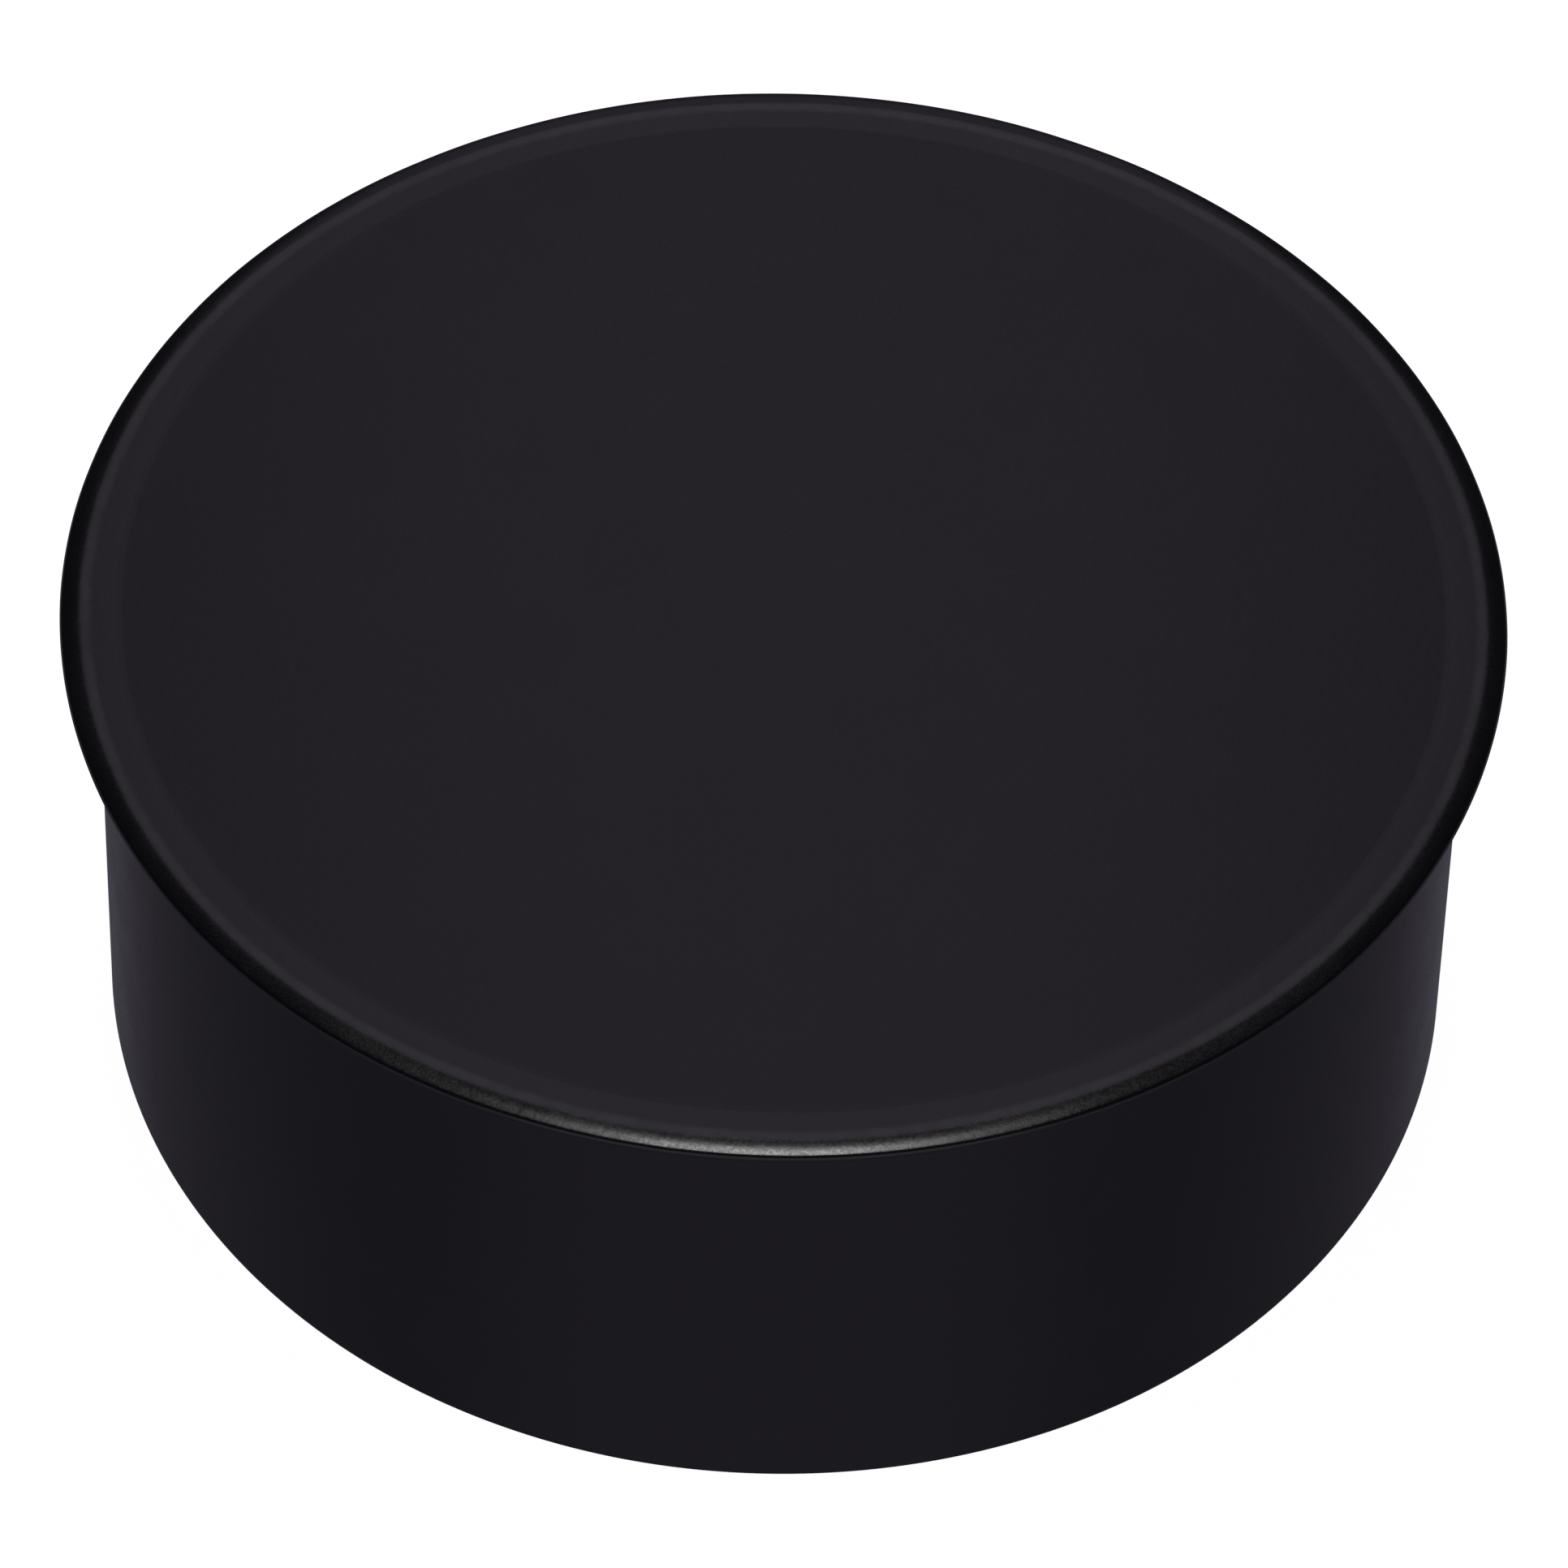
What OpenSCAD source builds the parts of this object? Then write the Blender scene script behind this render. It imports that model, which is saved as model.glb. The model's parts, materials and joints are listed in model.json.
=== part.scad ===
// Stove pipe end cap: a pressed round plate, hemmed over the flange of a sheet steel collar
// that plugs into the pipe. Z is the cap's axis and the collar's open edge stands on z = 0.

/* [Collar] */
// Outside diameter of the collar, which plugs into a pipe of 150 mm bore
collar_d = 149.5; // [100:0.5:200]
// Length of the collar that goes into the pipe, from its open edge to the rim
insert_l = 57.3; // [30:0.1:100]
// Thickness of the steel sheet that both the collar and the plate are made of
sheet_t = 0.4; // [0.35:0.05:0.5]
// Inside radius of the bend between the collar's wall and its flange
bend_r = 0.3; // [0.2:0.1:0.3]

/* [Lap joint] */
// Width of the overlap where the ends of the collar's strip meet
lap_w = 14; // [8:1:20]
// Width of the joggle that steps the inner end of the strip under the outer end
joggle_w = 3; // [2:0.5:6]
// Number of spot welds down the overlap
weld_count = 4; // [2:1:5]
// Diameter of the dimple that each spot weld leaves
weld_d = 4.5; // [3:0.5:6]
// Depth of that dimple
weld_depth = 0.1; // [0.05:0.05:0.15]

/* [Rim] */
// How far the rim stands out past the collar, all round
rim_w = 4; // [3.5:0.1:6]
// Thickness of the sealant between the plate and the collar's flange
seal_t = 0.15; // [0.15:0.05:0.3]
// Outside radius of the gentle crown on the rim's upper face
crown_r = 8; // [7.5:0.5:9]
// Slope that the crown reaches before the rim's edge turns down, in degrees
crown_a = 16; // [14:1:16]

/* [End plate] */
// How far the edge of the recessed panel lies inside the collar's outside face
panel_inset = 2.3; // [2.3:0.1:10]
// Depth of the recessed panel below the rim
panel_depth = 0.15; // [0.1:0.05:0.4]
// Width of the pressed step round the panel
step_w = 1.2; // [1.2:0.1:2]

/* [Hidden] */
$fn = 180;

// Radii of the collar and the rim
collar_r = collar_d / 2;
inner_r = collar_r - sheet_t;
rim_r = collar_r + rim_w;

// Heights, from the open edge up
flange_z = insert_l + sheet_t;              // underside of the flange, on top of the hem's lip
bend_z = flange_z - bend_r;                 // top of the straight wall
top_z = flange_z + 2 * sheet_t + seal_t;    // top of the rim
rim_t = top_z - insert_l;                   // three layers of sheet and the sealant

// The hem: crown, edge and fold are arcs of the outer face that run on into each other
fold_r = sheet_t + 0.1;
edge_r = (rim_t - fold_r - crown_r * (1 - cos(crown_a))) / cos(crown_a);
crown_c = [rim_r - edge_r - (crown_r - edge_r) * sin(crown_a), top_z - crown_r];
edge_c = crown_c + (crown_r - edge_r) * [sin(crown_a), cos(crown_a)];
fold_c = edge_c + [edge_r - fold_r, 0];
lip_r = collar_r + bend_r + 0.2;            // inner edge of the hem's return lip
flange_r = crown_c.x + 1;                   // outer edge of the collar's flange
bend_c = [collar_r + bend_r, bend_z];

// The pressed step: two equal arcs, back to back
step_a = 2 * atan(panel_depth / step_w);
step_r = step_w / 2 / sin(step_a) - sheet_t / 2;    // at the face on the inside of each bend
step_in = collar_r - panel_inset - step_w / 2;      // where the flat panel ends
step_out = step_in + step_w;

// The lap joint, at the back of the collar, as angles about the axis
lap_start = 90 - lap_w / 2 / collar_r * 180 / PI;
lap_end = 180 - lap_start;
joggle_end = lap_end + joggle_w / collar_r * 180 / PI;
weld_pitch = bend_z / weld_count;

// A point at radius r and angle a
function at(r, a) = r * [cos(a), sin(a)];

// Points of an arc about c, from angle a to angle b. A start of 1 leaves out the first of them,
// where the arc runs on from another one.
function arc(c, r, a, b, start = 0) =
    let (steps = ceil(abs(b - a) / (r < 0.25 ? 30 : 7.5)))
    [for (i = [start:steps]) c + at(r, a + (b - a) * i / steps)];

function reversed(points) = [for (i = [len(points) - 1:-1:0]) points[i]];

// The hem in section, from the rim's flat top out and round to the fold, at a depth in the sheet
function hem(depth) = concat(
    arc(crown_c, crown_r - depth, 90, 90 - crown_a),
    arc(edge_c, edge_r - depth, 90 - crown_a, 0, 1),
    arc(fold_c, fold_r - depth, 0, -90, 1)
);

// One face of the plate in section, from the axis out and round the hem to the lip's edge
function plate_face(depth) = concat(
    [[0, top_z - panel_depth - depth]],
    arc([step_in, top_z - panel_depth + step_r], step_r + depth, -90, step_a - 90),
    arc([step_out, top_z - step_r - sheet_t], step_r + sheet_t - depth, 90 + step_a, 90, 1),
    hem(depth),
    [[lip_r, insert_l + depth]]
);

// A wedge from angle a to angle b, reaching well past the collar
module wedge(a, b) {
    polygon([[0, 0], for (i = [0:2]) at(2 * collar_r, a + (b - a) * i / 2)]);
}

// Plan of the collar's wall: a ring that is open at the joggle, the joggle's slanted step, and
// the inner layer of the overlap
module wall_plan() {
    difference() {
        circle(collar_r);
        circle(inner_r);
        wedge(lap_end, joggle_end);
    }
    polygon([
        at(collar_r, joggle_end), at(inner_r, joggle_end),
        at(inner_r - sheet_t, lap_end), at(inner_r, lap_end)
    ]);
    intersection() {
        difference() {
            circle(inner_r);
            circle(inner_r - sheet_t);
        }
        wedge(lap_start, lap_end);
    }
}

// Dimples that the spot welds leave in the face of the overlap at radius r
module weld_dimples(r) {
    for (i = [0:weld_count - 1])
        translate([0, r, (i + 0.5) * weld_pitch])
            rotate([90, 0, 0]) cylinder(h = 2 * weld_depth, d = weld_d, center = true);
}

module end_plate() {
    color([0.14, 0.14, 0.15])
        rotate_extrude() polygon(concat(plate_face(0), reversed(plate_face(sheet_t))));
}

module collar() {
    color([0.11, 0.11, 0.12]) {
        difference() {
            linear_extrude(bend_z) wall_plan();
            weld_dimples(collar_r);
            weld_dimples(inner_r - sheet_t);
        }
        rotate_extrude() polygon(concat(
            arc(bend_c, bend_r + sheet_t, 180, 90),
            [[flange_r, flange_z + sheet_t], [flange_r, flange_z]],
            arc(bend_c, bend_r, 90, 180)
        ));
    }
}

// The sealant fills what the plate and the flange leave free, from the root of the hem in to
// halfway round the collar's bend
module seam_seal() {
    inner_corner = bend_c + at(bend_r + sheet_t, 135);
    color([0.45, 0.43, 0.4]) rotate_extrude() polygon(concat(
        [[inner_corner.x, top_z - sheet_t]],
        hem(sheet_t),
        [[flange_r, flange_z], [flange_r, flange_z + sheet_t]],
        arc(bend_c, bend_r + sheet_t, 90, 135)
    ));
}

end_plate();
collar();
seam_seal();
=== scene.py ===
"""Looks of a black stove pipe end cap: a round plate hemmed over the flange of a rolled collar.

Lengths are in metres. Sizes that the CAD frame holds are read from it; the rest are the sheet's own
bends and gaps. The cap's axis is Z, it stands on the collar's open edge, and its lap joint is at +Y.
"""
import json
import math

import bmesh
import bpy
from mathutils import Matrix, Vector, noise


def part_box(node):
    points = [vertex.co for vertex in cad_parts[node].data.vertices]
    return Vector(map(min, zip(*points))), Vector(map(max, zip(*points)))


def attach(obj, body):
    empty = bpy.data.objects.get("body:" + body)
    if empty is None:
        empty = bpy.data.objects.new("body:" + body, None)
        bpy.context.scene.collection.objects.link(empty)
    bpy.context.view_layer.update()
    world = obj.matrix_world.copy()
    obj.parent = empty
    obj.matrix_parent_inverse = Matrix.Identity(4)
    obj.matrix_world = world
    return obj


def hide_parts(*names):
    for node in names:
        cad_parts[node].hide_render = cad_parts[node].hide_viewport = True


MM = 0.001

# The sheet, and how it is pressed and bent
SHEET = 0.4 * MM
PANEL_DEPTH = 0.06 * MM         # of the recessed panel; deeper, its step would draw a bright line
STEP_MIDDLE = 2.3 * MM          # from the collar's outside face in to the middle of the step
STEP_WIDTH = 1.2 * MM
CROWN_R = 8 * MM                # of the rounded shoulder that leads to the rim's edge
CROWN_ANGLE = 16                # slope that the shoulder reaches, in degrees
FOLD_R = 0.5 * MM               # outside radius of the fold under the rim's edge
LIP_GAP = 0.5 * MM              # between the collar and the hem's return lip
BEND_R = 0.3 * MM               # inside radius of the collar's bend
FLANGE_WIDTH = 2.3 * MM         # from the collar's outside face to the flange's edge
CUT_EDGE_R = 0.12 * MM          # softness of the sheet's cut edges

# The collar's lap joint and spot welds
LAP_WIDTH = 14 * MM
LAP_GAP = 0.02 * MM             # between the two layers of the lap
JOGGLE_WIDTH = 3 * MM           # of the bend that takes the inner end in under the outer one
JOGGLE_FADE = 2 * MM            # height over which that bend fades out below the flange
JOGGLE_END = 2.5 * MM           # where it starts to fade, below the lip
WELD_COUNT = 4
WELD_R = 2.25 * MM
WELD_DEPTH = 0.1 * MM

# The sealant in the corner between the collar's bend and the plate
BEAD_R = 0.25 * MM
BEAD_INSET = 0.2 * MM           # of the bead's centre, in from the collar's outside face
SEAL_WIDTH = 1.4 * MM           # from the collar's outside face to its hidden edge

# How far the sheet and the sealant stray from true, and over what width
PANEL_WAVE, PANEL_WAVELENGTH = 0.05 * MM, 45 * MM
PANEL_WAVE_R, PANEL_WAVE_FADE = 60 * MM, 10 * MM        # outside this radius the waves die away
RIM_WAVE, RIM_WAVELENGTH = 0.02 * MM, 9 * MM
RIM_WAVE_R, RIM_WAVE_FADE = 75 * MM, 2 * MM             # inside this radius there are none
WALL_WAVE, WALL_WAVELENGTH = 0.04 * MM, 30 * MM
BEAD_WAVE, BEAD_WAVELENGTH, BEAD_WAVE_FADE = 0.15 * MM, 6 * MM, 0.3 * MM

# How finely the surfaces are divided
PANEL_RING_MM = 3
WALL_ROW = 0.6 * MM
STEP_ROWS = 12

# The paint and the sealant: sizes of their noise, and strength and height of their bumps
GRAIN_SIZE, GRAIN_BUMP, GRAIN_HEIGHT = 0.3 * MM, 0.25, 0.010 * MM
PEEL_SIZE, PEEL_BUMP, PEEL_HEIGHT = 1.1 * MM, 0.4, 0.035 * MM
MOTTLE_SIZE, MOTTLE_ROUGHNESS = 9 * MM, 0.02
PAINT_COLOUR = (0.0060, 0.0052, 0.0068, 1)
# Painted sheen: the lighter colour laid on the step ring and the rim's shoulder
SHEEN_COLOUR = (0.0080, 0.0072, 0.0088, 1)
PAINT_ROUGHNESS = (0.21, 0.28)
NOISE_RANGE = (0.3, 0.7)        # that most of a noise's values lie in
LUMP_SIZE, LUMP_BUMP, LUMP_HEIGHT = 0.8 * MM, 0.5, 0.08 * MM
SEALANT_DARK = (0.045, 0.042, 0.040, 1)
SEALANT_LIGHT = (0.075, 0.071, 0.066, 1)
SEALANT_ROUGHNESS = (0.75, 0.9)

# Painted sheen: how strongly the rim is painted lighter and more specular, from 0 to 1, and where,
# outward from the collar's outside face
RING_SHEEN, SHOULDER_SHEEN = 0.35, 0.65
SHOULDER_START, SHOULDER_FULL = 0.3 * MM, 1.2 * MM
EDGE_START, EDGE_CLEAR = 1.6 * MM, 2.2 * MM
SHEEN_PATCH_SIZE = 2.5 * MM             # of its uneven patches

# The studio's light, and the floor
COOL_WHITE = (1, 0.91, 1.1)
ROOM_COLOUR = (0.98, 0.91, 1.15, 1)
FLOOR_COLOUR = (0.85, 0.85, 0.85, 1)
FLOOR_GLOW = 0.96

# Camera: the angle, distance and lens that the cap is seen with
CAMERA_ELEVATION = math.radians(47.33)
CAMERA_DISTANCE = 1.181         # from the middle of the plate
CAMERA_ROLL = math.radians(1.50)
CAMERA_AIM = Vector((0.0005, 0, -0.0302))    # from the middle of the plate
CAMERA_LENS = 249.2

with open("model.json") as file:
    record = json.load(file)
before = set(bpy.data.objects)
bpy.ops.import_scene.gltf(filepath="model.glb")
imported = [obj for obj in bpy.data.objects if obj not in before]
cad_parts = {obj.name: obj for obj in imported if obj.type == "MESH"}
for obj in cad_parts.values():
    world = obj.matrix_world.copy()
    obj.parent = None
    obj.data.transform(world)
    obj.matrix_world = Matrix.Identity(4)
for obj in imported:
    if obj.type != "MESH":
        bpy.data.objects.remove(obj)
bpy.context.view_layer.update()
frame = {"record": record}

mounts = {m["name"]: m for m in frame["record"]["mounts"]}
COLLAR_R = mounts["spigot"]["dims"]["r_mm"] * MM
LIP_Z = mounts["rim_shoulder"]["pos_m"][2]
plate_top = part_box("end_plate")[1]
RIM_R, TOP_Z = plate_top.x, plate_top.z


# Shapes ---------------------------------------------------------------------------------------

def arc(centre, radius, start, end, steps):
    """Points (r, z) round a centre, from one angle to another in degrees, both ends included."""
    angles = [math.radians(start + (end - start) * i / steps) for i in range(steps + 1)]
    return [(centre[0] + radius * math.cos(a), centre[1] + radius * math.sin(a)) for a in angles]


def smoothstep(t):
    t = min(max(t, 0), 1)
    return t * t * (3 - 2 * t)


def unevenness(angle, r, z, size):
    """A smooth random value from -1 to 1, the same on every run, with waves of about this size."""
    return noise.noise(Vector((r * math.cos(angle), r * math.sin(angle), z)) / size)


def finished(name, mesh):
    """An object from a bmesh, with its faces turned outward."""
    bmesh.ops.recalc_face_normals(mesh, faces=mesh.faces)
    data = bpy.data.meshes.new(name)
    mesh.to_mesh(data)
    mesh.free()
    piece = bpy.data.objects.new(name, data)
    bpy.context.scene.collection.objects.link(piece)
    return piece


def apply_modifiers(piece):
    piece.data = bpy.data.meshes.new_from_object(
        piece.evaluated_get(bpy.context.evaluated_depsgraph_get()))
    piece.modifiers.clear()


def shade(piece):
    """Smooth shading, except over edges sharper than 50 degrees."""
    piece.data.shade_smooth()
    piece.data.set_sharp_from_angle(angle=math.radians(50))


def lathe(name, outline, offset=None, segments=480):
    """A closed body of revolution from the (r, z) points of its section. Where the section meets
    the axis it closes to a point. offset(angle, r, z) is how far each point is moved, (dr, dz)."""
    mesh = bmesh.new()
    rings = []
    for r, z in outline:
        if r < 1e-6:
            rings.append([mesh.verts.new((0, 0, z))] * segments)
            continue
        ring = []
        for i in range(segments):
            a = 2 * math.pi * i / segments
            dr, dz = offset(a, r, z) if offset else (0, 0)
            ring.append(mesh.verts.new(((r + dr) * math.cos(a), (r + dr) * math.sin(a), z + dz)))
        rings.append(ring)
    for low, high in zip(rings, rings[1:] + rings[:1]):
        for i in range(segments):
            corners = list(dict.fromkeys((low[i], low[i - 1], high[i - 1], high[i])))
            if len(corners) > 2:
                mesh.faces.new(corners)
    piece = finished(name, mesh)
    shade(piece)
    return piece


# End plate ------------------------------------------------------------------------------------

# The hem's outer face is three arcs that run on into each other
CROWN_SIN, CROWN_COS = math.sin(math.radians(CROWN_ANGLE)), math.cos(math.radians(CROWN_ANGLE))
EDGE_R = (TOP_Z - LIP_Z - FOLD_R - CROWN_R * (1 - CROWN_COS)) / CROWN_COS
CROWN_C = (RIM_R - EDGE_R - (CROWN_R - EDGE_R) * CROWN_SIN, TOP_Z - CROWN_R)
EDGE_C = (RIM_R - EDGE_R, CROWN_C[1] + (CROWN_R - EDGE_R) * CROWN_COS)
FOLD_C = (RIM_R - FOLD_R, EDGE_C[1])


def plate_face(depth):
    """One face of the plate in section, at a depth in the sheet: from the axis out over the panel
    and the step, and round the hem to the lip's edge."""
    panel_z = TOP_Z - PANEL_DEPTH - depth
    step_start = COLLAR_R - STEP_MIDDLE - STEP_WIDTH / 2
    panel = [(r * MM, panel_z) for r in range(0, math.ceil(step_start / MM), PANEL_RING_MM)]
    step = [(step_start + STEP_WIDTH * i / STEP_ROWS, panel_z + PANEL_DEPTH * smoothstep(i / STEP_ROWS))
            for i in range(STEP_ROWS + 1)]
    crown = arc(CROWN_C, CROWN_R - depth, 90, 90 - CROWN_ANGLE, 10)
    edge = arc(EDGE_C, EDGE_R - depth, 90 - CROWN_ANGLE, 0, 10)
    fold = arc(FOLD_C, FOLD_R - depth, 0, -90, 8)
    return panel + step + crown + edge[1:] + fold[1:] + [(COLLAR_R + LIP_GAP, LIP_Z + depth)]


def plate_unevenness(angle, r, z):
    """Sheet is never quite flat: the panel waves a little, and the rolled rim more finely."""
    on_panel = 1 - smoothstep((r - PANEL_WAVE_R) / PANEL_WAVE_FADE)
    panel = PANEL_WAVE * unevenness(angle, r, 0, PANEL_WAVELENGTH) * on_panel
    on_rim = smoothstep((r - RIM_WAVE_R) / RIM_WAVE_FADE)
    rim = RIM_WAVE * unevenness(angle, r, 0, RIM_WAVELENGTH) * on_rim
    return rim, panel + rim


def make_end_plate():
    return lathe("end_plate_sheet", plate_face(0) + plate_face(SHEET)[::-1], plate_unevenness)


# Collar ---------------------------------------------------------------------------------------

def collar_section():
    """The collar's mid-sheet line in section: (r, z) up the wall, round the bend, along the flange."""
    bend_z = LIP_Z + SHEET - BEND_R
    rows = round(bend_z / WALL_ROW)
    wall = [(COLLAR_R - SHEET / 2, bend_z * i / rows) for i in range(rows)]
    bend = arc((COLLAR_R + BEND_R, bend_z), BEND_R + SHEET / 2, 180, 90, 8)
    return wall + bend + [(COLLAR_R + FLANGE_WIDTH, bend[-1][1])]


def collar_angles():
    """Angles of the columns of the strip, from its outer end back round to its hidden inner end:
    fine over the lap joint and the joggle, wider elsewhere. Also the column where a turn is full."""
    lap, joggle = LAP_WIDTH / COLLAR_R, JOGGLE_WIDTH / COLLAR_R
    start = math.pi / 2 + lap / 2
    # Each stretch is from one angle to another in so many columns
    stretches = [(0, lap, 28), (lap, 2 * math.pi - joggle, 280),
                 (2 * math.pi - joggle, 2 * math.pi, 10), (2 * math.pi, 2 * math.pi + lap, 28)]
    turned = [a + (b - a) * i / n for a, b, n in stretches for i in range(n)] + [2 * math.pi + lap]
    return [start - t for t in turned], sum(n for _, _, n in stretches[:3])


def weld_dimple(angle, z):
    """How far the sheet is pressed in by the nearest spot weld, from 0 to 1. The middle is flat."""
    pitch = LIP_Z / WELD_COUNT
    along = (z % pitch) - pitch / 2
    across = math.remainder(angle - math.pi / 2, 2 * math.pi) * COLLAR_R
    return 1 - smoothstep((math.hypot(along, across) - 0.7 * WELD_R) / (0.5 * WELD_R))


def make_collar():
    """One strip of sheet, rolled until its ends overlap. The inner end steps in under the outer
    one over the joggle, which fades out below the flange, where the strip closes on itself."""
    section = collar_section()
    angles, turn = collar_angles()
    joggle = JOGGLE_WIDTH / COLLAR_R
    fade_z = LIP_Z - JOGGLE_END
    mesh = bmesh.new()
    columns = []
    for k, a in enumerate(angles):
        stepped = smoothstep((angles[0] - a - 2 * math.pi + joggle) / joggle)
        column = []
        for r, z in section:
            fade = 1 - smoothstep((z - fade_z) / JOGGLE_FADE)
            if k >= turn and fade == 0:
                column.append(columns[0][len(column)] if k == turn else None)
                continue
            pressed = WELD_DEPTH * weld_dimple(a, z) * (1 if k < turn else -1)
            wave = WALL_WAVE * unevenness(a, r, z, WALL_WAVELENGTH)
            radius = r - (SHEET + LAP_GAP) * stepped * fade - pressed + wave
            column.append(mesh.verts.new((radius * math.cos(a), radius * math.sin(a), z)))
        columns.append(column)
    for left, right in zip(columns, columns[1:]):
        for i in range(len(section) - 1):
            corners = (left[i], right[i], right[i + 1], left[i + 1])
            if None not in corners:
                mesh.faces.new(corners)
    piece = finished("collar_strip", mesh)
    thick = piece.modifiers.new("thickness", "SOLIDIFY")
    thick.thickness, thick.offset, thick.use_even_offset = SHEET, 0, True
    cut = piece.modifiers.new("cut_edges", "BEVEL")
    cut.width, cut.segments, cut.angle_limit = CUT_EDGE_R, 2, math.radians(60)
    apply_modifiers(piece)
    shade(piece)
    return piece


# Sealant --------------------------------------------------------------------------------------

def make_seal():
    """Sealant squeezed out of the seam into the corner between the collar's bend and the plate."""
    bend_c = (COLLAR_R + BEND_R, LIP_Z + SHEET - BEND_R)
    plate_z = TOP_Z - SHEET
    bulge = arc((COLLAR_R - BEAD_INSET, plate_z - BEAD_R), BEAD_R, 95, 235, 8)
    on_bend = arc(bend_c, BEND_R + SHEET, 145, 90, 6)
    hidden_r = COLLAR_R + SEAL_WIDTH
    outline = bulge + on_bend + [(hidden_r, on_bend[-1][1]), (hidden_r, plate_z)]
    inner_r = COLLAR_R - BEAD_INSET - BEAD_R

    def ragged(angle, r, z):
        near_bulge = 1 - smoothstep((r - inner_r) / BEAD_WAVE_FADE)
        return BEAD_WAVE * unevenness(angle, r, 0, BEAD_WAVELENGTH) * near_bulge, 0

    return lathe("seam_sealant", outline, ragged)


# Materials ------------------------------------------------------------------------------------

def add(tree, kind, settings=None, **inputs):
    """A shader node with its settings and inputs. An input is a value or another node's output.
    It is given by its socket's name, or as i0 or i1 by its number."""
    made = tree.nodes.new(kind)
    for name, value in (settings or {}).items():
        setattr(made, name, value)
    for name, value in inputs.items():
        numbered = name[0] == "i" and name[1:].isdigit()
        socket = made.inputs[int(name[1:]) if numbered else name.replace("_", " ")]
        if isinstance(value, bpy.types.NodeSocket):
            tree.links.new(value, socket)
        else:
            socket.default_value = value
    return made


def math_node(tree, operation, first, second):
    return add(tree, "ShaderNodeMath", {"operation": operation}, i0=first, i1=second).outputs[0]


def noise_value(tree, place, size, detail=2.0):
    """Noise with features of about this size in metres."""
    return add(tree, "ShaderNodeTexNoise", Vector=place, Scale=1 / size, Detail=detail).outputs["Fac"]


def mapped(tree, value, low, high, to_low, to_high):
    """A value mapped smoothly from one range to another, and held at its ends."""
    return add(tree, "ShaderNodeMapRange", {"interpolation_type": "SMOOTHSTEP"}, Value=value,
               From_Min=low, From_Max=high, To_Min=to_low, To_Max=to_high).outputs["Result"]


def blended(tree, factor, colour_a, colour_b):
    mix = add(tree, "ShaderNodeMix", {"data_type": "RGBA"}, Factor=factor)
    mix.inputs["A"].default_value = colour_a
    mix.inputs["B"].default_value = colour_b
    return mix.outputs["Result"]


def new_material(name):
    material = bpy.data.materials.new(name)
    material.use_nodes = True
    tree = material.node_tree
    return material, tree, tree.nodes["Principled BSDF"]


def black_paint():
    """Satin stove paint: near black with a violet cast, a fine sprayed grain over soft orange peel,
    and a painted sheen on the step ring and the rim's shoulder: there the colour is a little lighter
    grey and the specular level higher."""
    material, tree, shader = new_material("satin_stove_paint")
    place = add(tree, "ShaderNodeTexCoord").outputs["Object"]
    grain = noise_value(tree, place, GRAIN_SIZE, 1)
    peel = noise_value(tree, place, PEEL_SIZE)
    mottle = noise_value(tree, place, MOTTLE_SIZE, 3)

    flat = add(tree, "ShaderNodeVectorMath", {"operation": "MULTIPLY"}, i0=place, i1=(1, 1, 0))
    length = add(tree, "ShaderNodeVectorMath", {"operation": "LENGTH"}, i0=flat.outputs[0])
    radius = length.outputs["Value"]
    # Painted sheen: a mask over the step ring and the rim's shoulder, in uneven patches, where the
    # paint is made lighter and more specular
    ring_r = COLLAR_R - STEP_MIDDLE
    on_ring = mapped(tree, radius, ring_r, ring_r + STEP_WIDTH / 2, 0, RING_SHEEN)
    on_shoulder = mapped(tree, radius, COLLAR_R + SHOULDER_START, COLLAR_R + SHOULDER_FULL,
                         0, SHOULDER_SHEEN)
    over_edge = mapped(tree, radius, COLLAR_R + EDGE_START, COLLAR_R + EDGE_CLEAR, 1, 0)
    uneven = mapped(tree, noise_value(tree, place, SHEEN_PATCH_SIZE), 0.35, 0.65, 0.6, 1.1)
    on_rim = math_node(tree, "ADD", on_ring, math_node(tree, "MULTIPLY", on_shoulder, uneven))
    painted_sheen = math_node(tree, "MULTIPLY", on_rim, over_edge)
    tree.links.new(mapped(tree, painted_sheen, 0, 1, 0.5, 1.0), shader.inputs["Specular IOR Level"])
    tree.links.new(blended(tree, painted_sheen, PAINT_COLOUR, SHEEN_COLOUR), shader.inputs["Base Color"])

    fine = mapped(tree, grain, *NOISE_RANGE, *PAINT_ROUGHNESS)
    broad = mapped(tree, mottle, *NOISE_RANGE, -MOTTLE_ROUGHNESS, MOTTLE_ROUGHNESS)
    tree.links.new(math_node(tree, "ADD", fine, broad), shader.inputs["Roughness"])

    soft = add(tree, "ShaderNodeBump", Strength=PEEL_BUMP, Distance=PEEL_HEIGHT, Height=peel)
    sprayed = add(tree, "ShaderNodeBump", Strength=GRAIN_BUMP, Distance=GRAIN_HEIGHT, Height=grain,
                  Normal=soft.outputs["Normal"])
    tree.links.new(sprayed.outputs["Normal"], shader.inputs["Normal"])
    return material


def sealant():
    """Heat-proof sealant: dull dark grey and slightly lumpy."""
    material, tree, shader = new_material("fire_sealant")
    place = add(tree, "ShaderNodeTexCoord").outputs["Object"]
    lumps = noise_value(tree, place, LUMP_SIZE, 3)
    tree.links.new(blended(tree, lumps, SEALANT_DARK, SEALANT_LIGHT), shader.inputs["Base Color"])
    tree.links.new(mapped(tree, lumps, *NOISE_RANGE, *SEALANT_ROUGHNESS), shader.inputs["Roughness"])
    bump = add(tree, "ShaderNodeBump", Strength=LUMP_BUMP, Distance=LUMP_HEIGHT, Height=lumps)
    tree.links.new(bump.outputs["Normal"], shader.inputs["Normal"])
    return material


# The studio -----------------------------------------------------------------------------------

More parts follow.
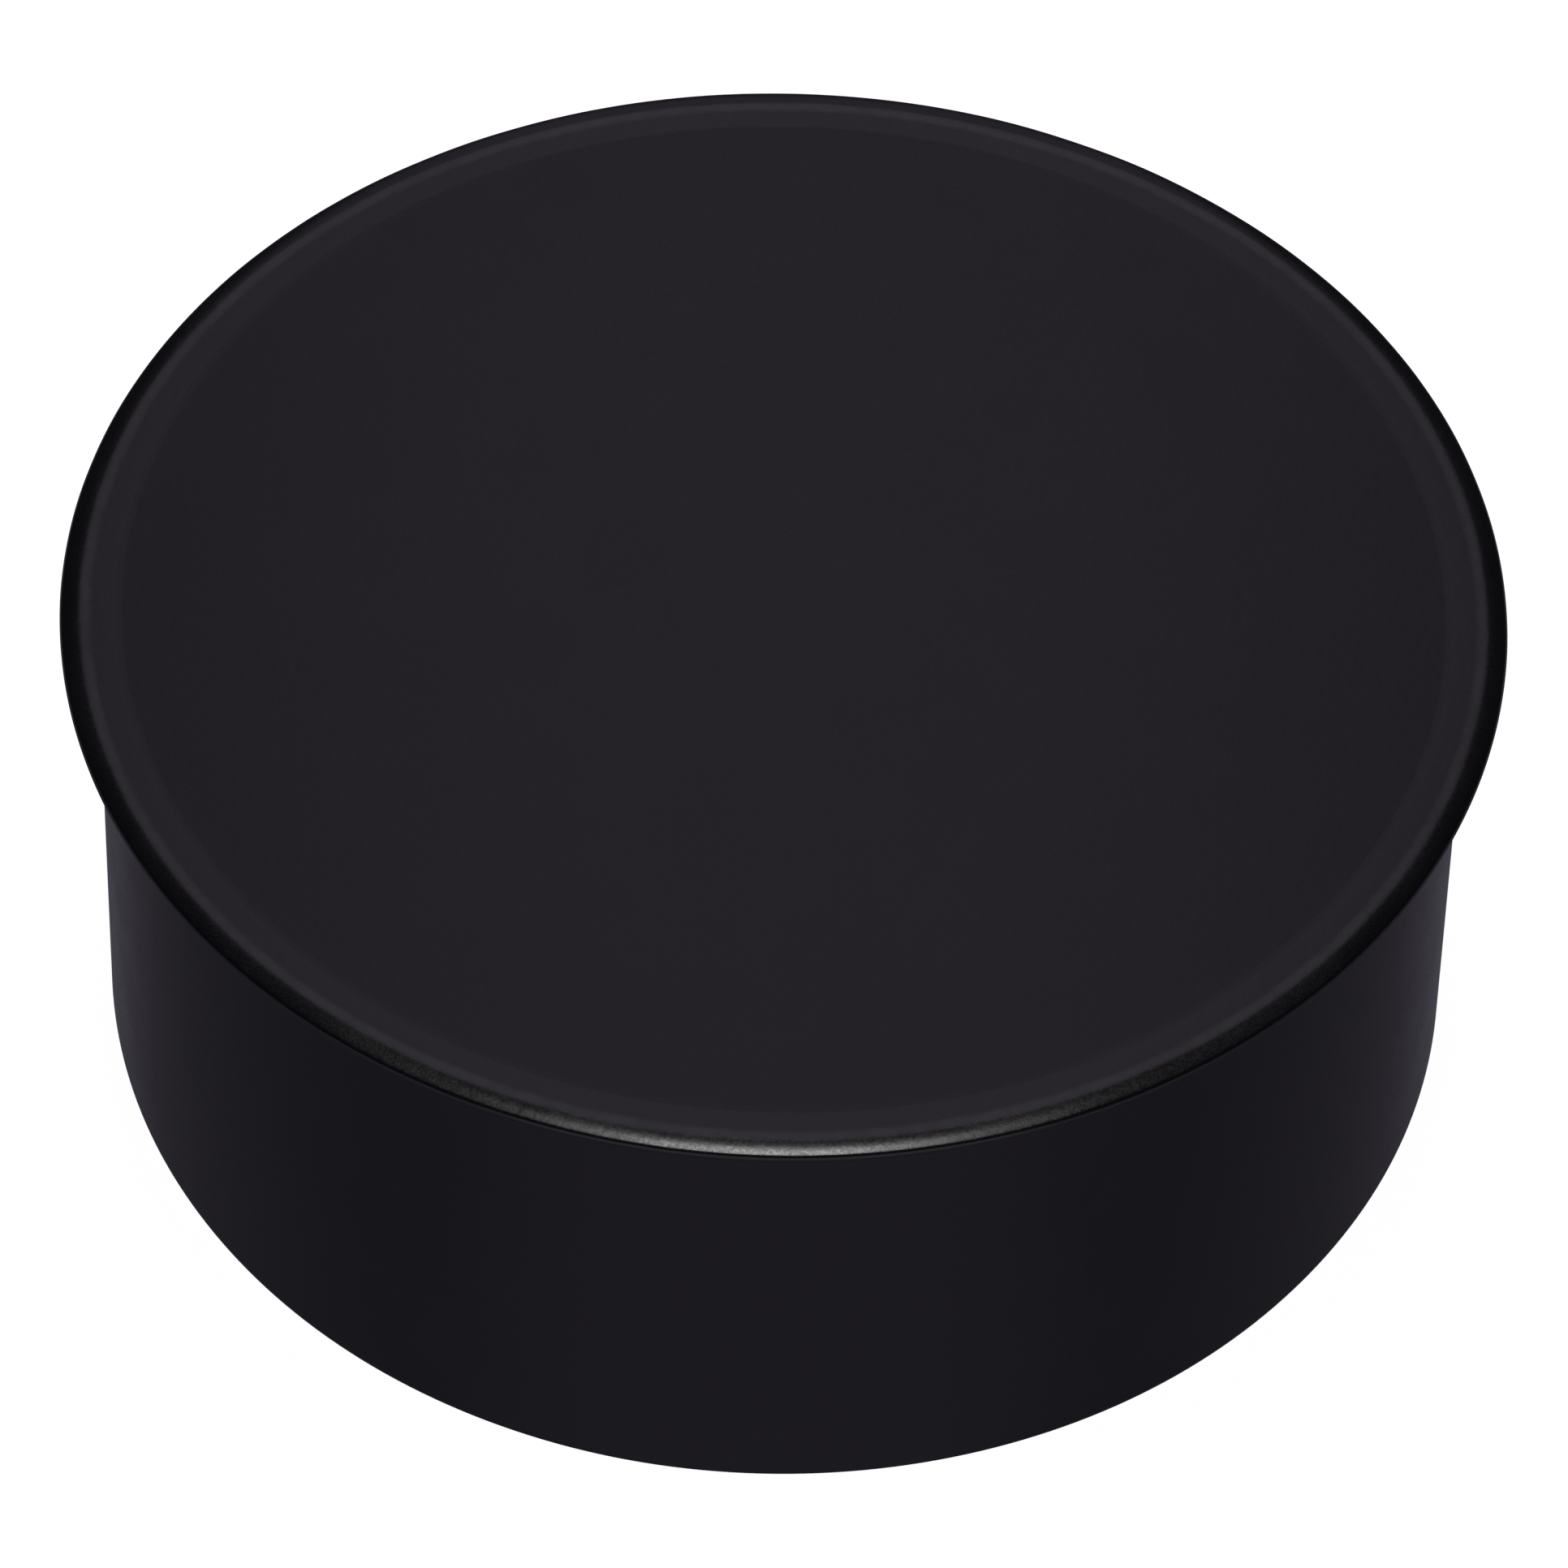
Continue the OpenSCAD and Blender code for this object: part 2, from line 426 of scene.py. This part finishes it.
def direction(azimuth, elevation):
    """A unit vector. Azimuth 0 is the camera's side (-Y) and 90 is to its right (+X), in degrees."""
    a, e = math.radians(azimuth), math.radians(elevation)
    return Vector((math.sin(a) * math.cos(e), -math.cos(a) * math.cos(e), math.sin(e)))


def softbox(name, azimuth, elevation, distance, width, height, radiance, colour=(1, 1, 1)):
    """A rectangular lamp that faces the middle of the plate. Its brightness is a radiance."""
    lamp = bpy.data.lights.new(name, "AREA")
    lamp.shape, lamp.size, lamp.size_y = "RECTANGLE", width, height
    lamp.energy = radiance * math.pi * width * height
    lamp.color = colour
    piece = bpy.data.objects.new(name, lamp)
    place = direction(azimuth, elevation) * distance
    piece.location = place + Vector((0, 0, TOP_Z))
    piece.rotation_euler = place.to_track_quat("Z", "Y").to_euler()
    piece.visible_camera = False
    bpy.context.scene.collection.objects.link(piece)


def make_world():
    """The room that the paint mirrors: a floor that glows dimly, least of all straight below and
    most in front and behind, and darkness above the horizon. Z is the sine of a ray's elevation,
    and Y is towards the back."""
    world = bpy.data.worlds.new("room")
    world.use_nodes = True
    tree = world.node_tree
    ray = add(tree, "ShaderNodeTexCoord").outputs["Generated"]
    parts = add(tree, "ShaderNodeSeparateXYZ", Vector=ray).outputs
    floor_glow = mapped(tree, parts["Z"], -0.68, -0.40, 0.07, 0.18)
    below_horizon = mapped(tree, parts["Z"], -0.10, 0.22, 1, 0.10)
    front_glow = mapped(tree, parts["Y"], -0.65, -0.25, 2.0, 1)
    back_glow = mapped(tree, parts["Y"], 0.40, 0.66, 1, 1.75)
    light = floor_glow
    for factor in (below_horizon, front_glow, back_glow):
        light = math_node(tree, "MULTIPLY", light, factor)
    background = tree.nodes["Background"]
    background.inputs["Color"].default_value = ROOM_COLOUR
    tree.links.new(light, background.inputs["Strength"])
    bpy.context.scene.world = world


def make_floor():
    """A pale floor that turns up into a wall all round, far outside the view. Only the camera sees
    it, so that the black paint mirrors the room's own light."""
    flat = [(r, 0) for r in (0, 0.05, 0.1, 0.2, 0.5, 1, 2, 3)]
    outline = flat + arc((3, 1), 1, -90, 0, 12) + [(4, 3)]
    mesh = bmesh.new()
    for r, z in outline:
        mesh.verts.new((r, 0, z))
    mesh.verts.ensure_lookup_table()
    for i in range(len(outline) - 1):
        mesh.edges.new((mesh.verts[i], mesh.verts[i + 1]))
    bmesh.ops.spin(mesh, geom=mesh.verts[:] + mesh.edges[:], cent=(0, 0, 0), axis=(0, 0, 1),
                   angle=2 * math.pi, steps=96, use_merge=True)
    floor = finished("floor", mesh)
    shade(floor)
    material, tree, shader = new_material("pale_floor")
    shader.inputs["Base Color"].default_value = FLOOR_COLOUR
    shader.inputs["Roughness"].default_value = 0.9
    shader.inputs["Emission Color"].default_value = (1, 1, 1, 1)
    shader.inputs["Emission Strength"].default_value = FLOOR_GLOW
    floor.data.materials.append(material)
    floor.visible_diffuse = floor.visible_glossy = floor.visible_shadow = False


def make_camera():
    camera = bpy.data.objects.new("camera", bpy.data.cameras.new("camera"))
    camera.data.lens = CAMERA_LENS
    plate = Vector((0, 0, TOP_Z))
    place = plate + direction(0, math.degrees(CAMERA_ELEVATION)) * CAMERA_DISTANCE
    towards = (plate + CAMERA_AIM - place).to_track_quat("-Z", "Y").to_matrix()
    camera.matrix_world = (Matrix.Translation(place) @ towards.to_4x4()
                           @ Matrix.Rotation(CAMERA_ROLL, 4, "Z"))
    bpy.context.scene.collection.objects.link(camera)
    bpy.context.scene.camera = camera


# Putting it together --------------------------------------------------------------------------

make_camera()
make_world()
make_floor()
softbox("back_wall", 180.8, 39, distance=0.8, width=0.37, height=0.62, radiance=0.26,
        colour=COOL_WHITE)
softbox("back_middle", 180, 54, distance=0.78, width=0.16, height=0.42, radiance=0.10,
        colour=COOL_WHITE)
softbox("overhead", 180, 84, distance=0.9, width=0.17, height=0.21, radiance=14.5)
softbox("front", 0, 15, distance=1.5, width=2.0, height=0.8, radiance=0.45)

paint, filler = black_paint(), sealant()
for piece, node_name, material, slot_name in (
        (make_end_plate(), "end_plate", paint, "black_paint"),
        (make_collar(), "collar", paint, "black_paint"),
        (make_seal(), "seam_seal", filler, "sealant")):
    piece.data.materials.clear()
    piece.data.materials.append(material)
    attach(piece, "root")
    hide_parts(node_name)

bpy.context.scene.view_settings.view_transform = "Standard"
